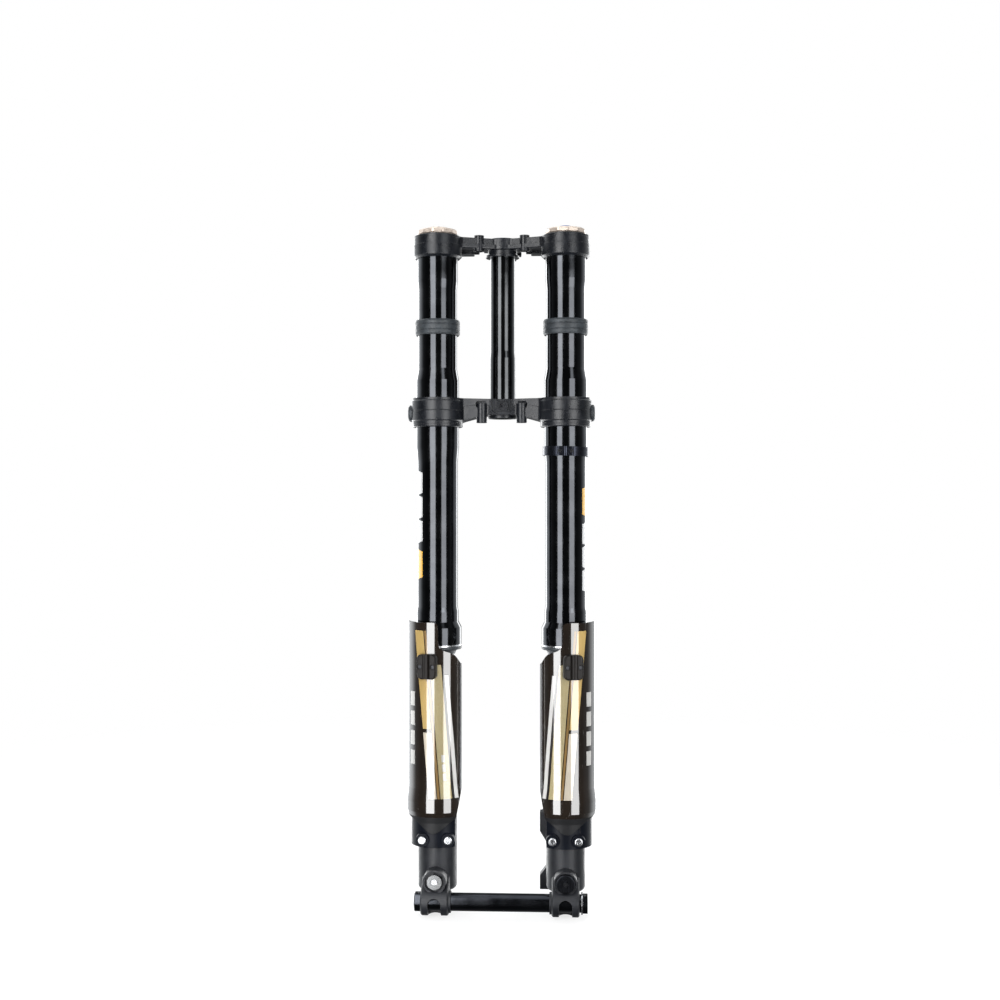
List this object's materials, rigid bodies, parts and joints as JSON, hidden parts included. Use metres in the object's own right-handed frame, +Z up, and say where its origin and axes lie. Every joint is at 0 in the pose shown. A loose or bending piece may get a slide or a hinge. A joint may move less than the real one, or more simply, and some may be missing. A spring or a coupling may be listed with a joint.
{
  "type": "suspension fork",
  "caption": "Dual-crown inverted suspension fork: a steerer between two crowns, clamped outer tubes over sliding legs with front guards, and cast feet that clamp a wheel axle.",
  "frame": {"origin": "on the steerer axis, level with the top of the lower crown, where the lower head bearing seats", "axes": "+Z up along the steerer, -Y towards the front of the fork, +X to the right seen from the front"},
  "size_m": [0.2172, 0.105, 0.7776],
  "materials": {
    "crown_casting": "satin black anodised forging with a fine grain",
    "outer_tube_anodised": "gloss black anodised",
    "foot_casting": "matte charcoal casting",
    "cap_champagne": "satin champagne anodised",
    "dial_blue": "satin blue anodised",
    "knob_black": "satin black anodised",
    "clamp_black": "gloss black",
    "stanchion_chrome": "hard chrome, polished",
    "steerer_steel": "black",
    "bolt_black": "black oxide",
    "bolt_bright": "zinc plated",
    "spring_steel": "shot peened",
    "damper_steel": "ground",
    "axle_black": "satin black anodised",
    "bushing_bronze": "bronze backed, coated",
    "rubber_black": "moulded rubber",
    "spacer_plastic": "moulded",
    "guard_plastic": "gloss dark moulding with printed graphics",
    "mount_plastic": "gloss black moulding"
  },
  "bodies": {
    "upper": {"steerer_tube": "steerer_steel", "steerer_top_cap": "knob_black", "upper_crown": "crown_casting", "lower_crown": "crown_casting", "upper_crown_pinch_bolts": "bolt_black", "lower_crown_pinch_bolts": "bolt_black", "steerer_pinch_bolt": "bolt_black", "steerer_lock_screw": "bolt_black", "crown_stop_bumpers": "rubber_black", "left_outer_tube": "outer_tube_anodised", "right_outer_tube": "outer_tube_anodised", "left_frame_bumper": "rubber_black", "right_frame_bumper": "rubber_black", "left_dust_wiper": "rubber_black", "right_dust_wiper": "rubber_black", "left_top_cap": "cap_champagne", "right_top_cap": "cap_champagne", "top_cap_o_rings": "rubber_black", "lower_bushings": "bushing_bronze", "oil_seals": "rubber_black", "seal_washers": "damper_steel", "seal_circlips": "bolt_bright", "wiper_bands": "bolt_bright", "hose_clamp": "clamp_black", "hose_clamp_screws": "bolt_black", "damper_cartridge": "damper_steel", "damper_seal_head": "knob_black", "main_spring": "spring_steel"},
    "lower": {"left_inner_tube": "stanchion_chrome", "right_inner_tube": "stanchion_chrome", "upper_bushings": "bushing_bronze", "left_foot": "foot_casting", "right_foot": "foot_casting", "left_guard": "guard_plastic", "right_guard": "guard_plastic", "left_guard_mount": "mount_plastic", "right_guard_mount": "mount_plastic", "left_hose_guide": "guard_plastic", "right_hose_guide": "guard_plastic", "guard_bolts": "bolt_bright", "hose_guide_screws": "bolt_black", "foot_pinch_bolts": "bolt_black", "spring_seat": "spacer_plastic", "foot_bolt": "bolt_bright", "bleed_screw": "bolt_bright", "damper_rod": "damper_steel", "damper_piston": "knob_black", "top_out_bumper": "rubber_black", "axle": "axle_black", "axle_washer": "bolt_bright", "axle_end_cap": "axle_black"},
    "preload_adjuster": {"preload_adjuster": "cap_champagne", "preload_screw": "damper_steel"},
    "preload_spacer": {"preload_spacer": "spacer_plastic"},
    "compression_adjuster": {"compression_adjuster": "dial_blue"},
    "rebound_knob": {"rebound_knob": "knob_black", "rebound_knob_screw": "bolt_black"}
  },
  "joints": [
    {"name": "fork_travel", "type": "slide", "parent": "upper", "child": "lower", "axis": [0, 0, 1], "range_m": [0, 0.18], "stiffness_N_per_m": 9000, "springref_m": -0.01, "deforming": ["main_spring"]},
    {"name": "preload_adjuster_turn", "type": "hinge", "parent": "upper", "child": "preload_adjuster", "pos_m": [-0.073, -0.028, 0.19], "axis": [0, 0, 1], "range_deg": [0, 1080]},
    {"name": "preload_spacer_slide", "type": "slide", "parent": "upper", "child": "preload_spacer", "axis": [0, 0, -1], "range_m": [0, 0.006], "deforming": ["main_spring"]},
    {"name": "compression_adjuster_turn", "type": "hinge", "parent": "upper", "child": "compression_adjuster", "pos_m": [0.073, -0.028, 0.19], "axis": [0, 0, 1], "range_deg": [-180, 180]},
    {"name": "rebound_knob_turn", "type": "hinge", "parent": "lower", "child": "rebound_knob", "pos_m": [0.073, -0.06, -0.5415], "axis": [0, -1, 0], "range_deg": [-180, 180]}
  ],
  "couplings": [
    {"joint": "preload_adjuster_turn", "follows": "preload_spacer_slide", "rad_per_m": 3141.6}
  ]
}
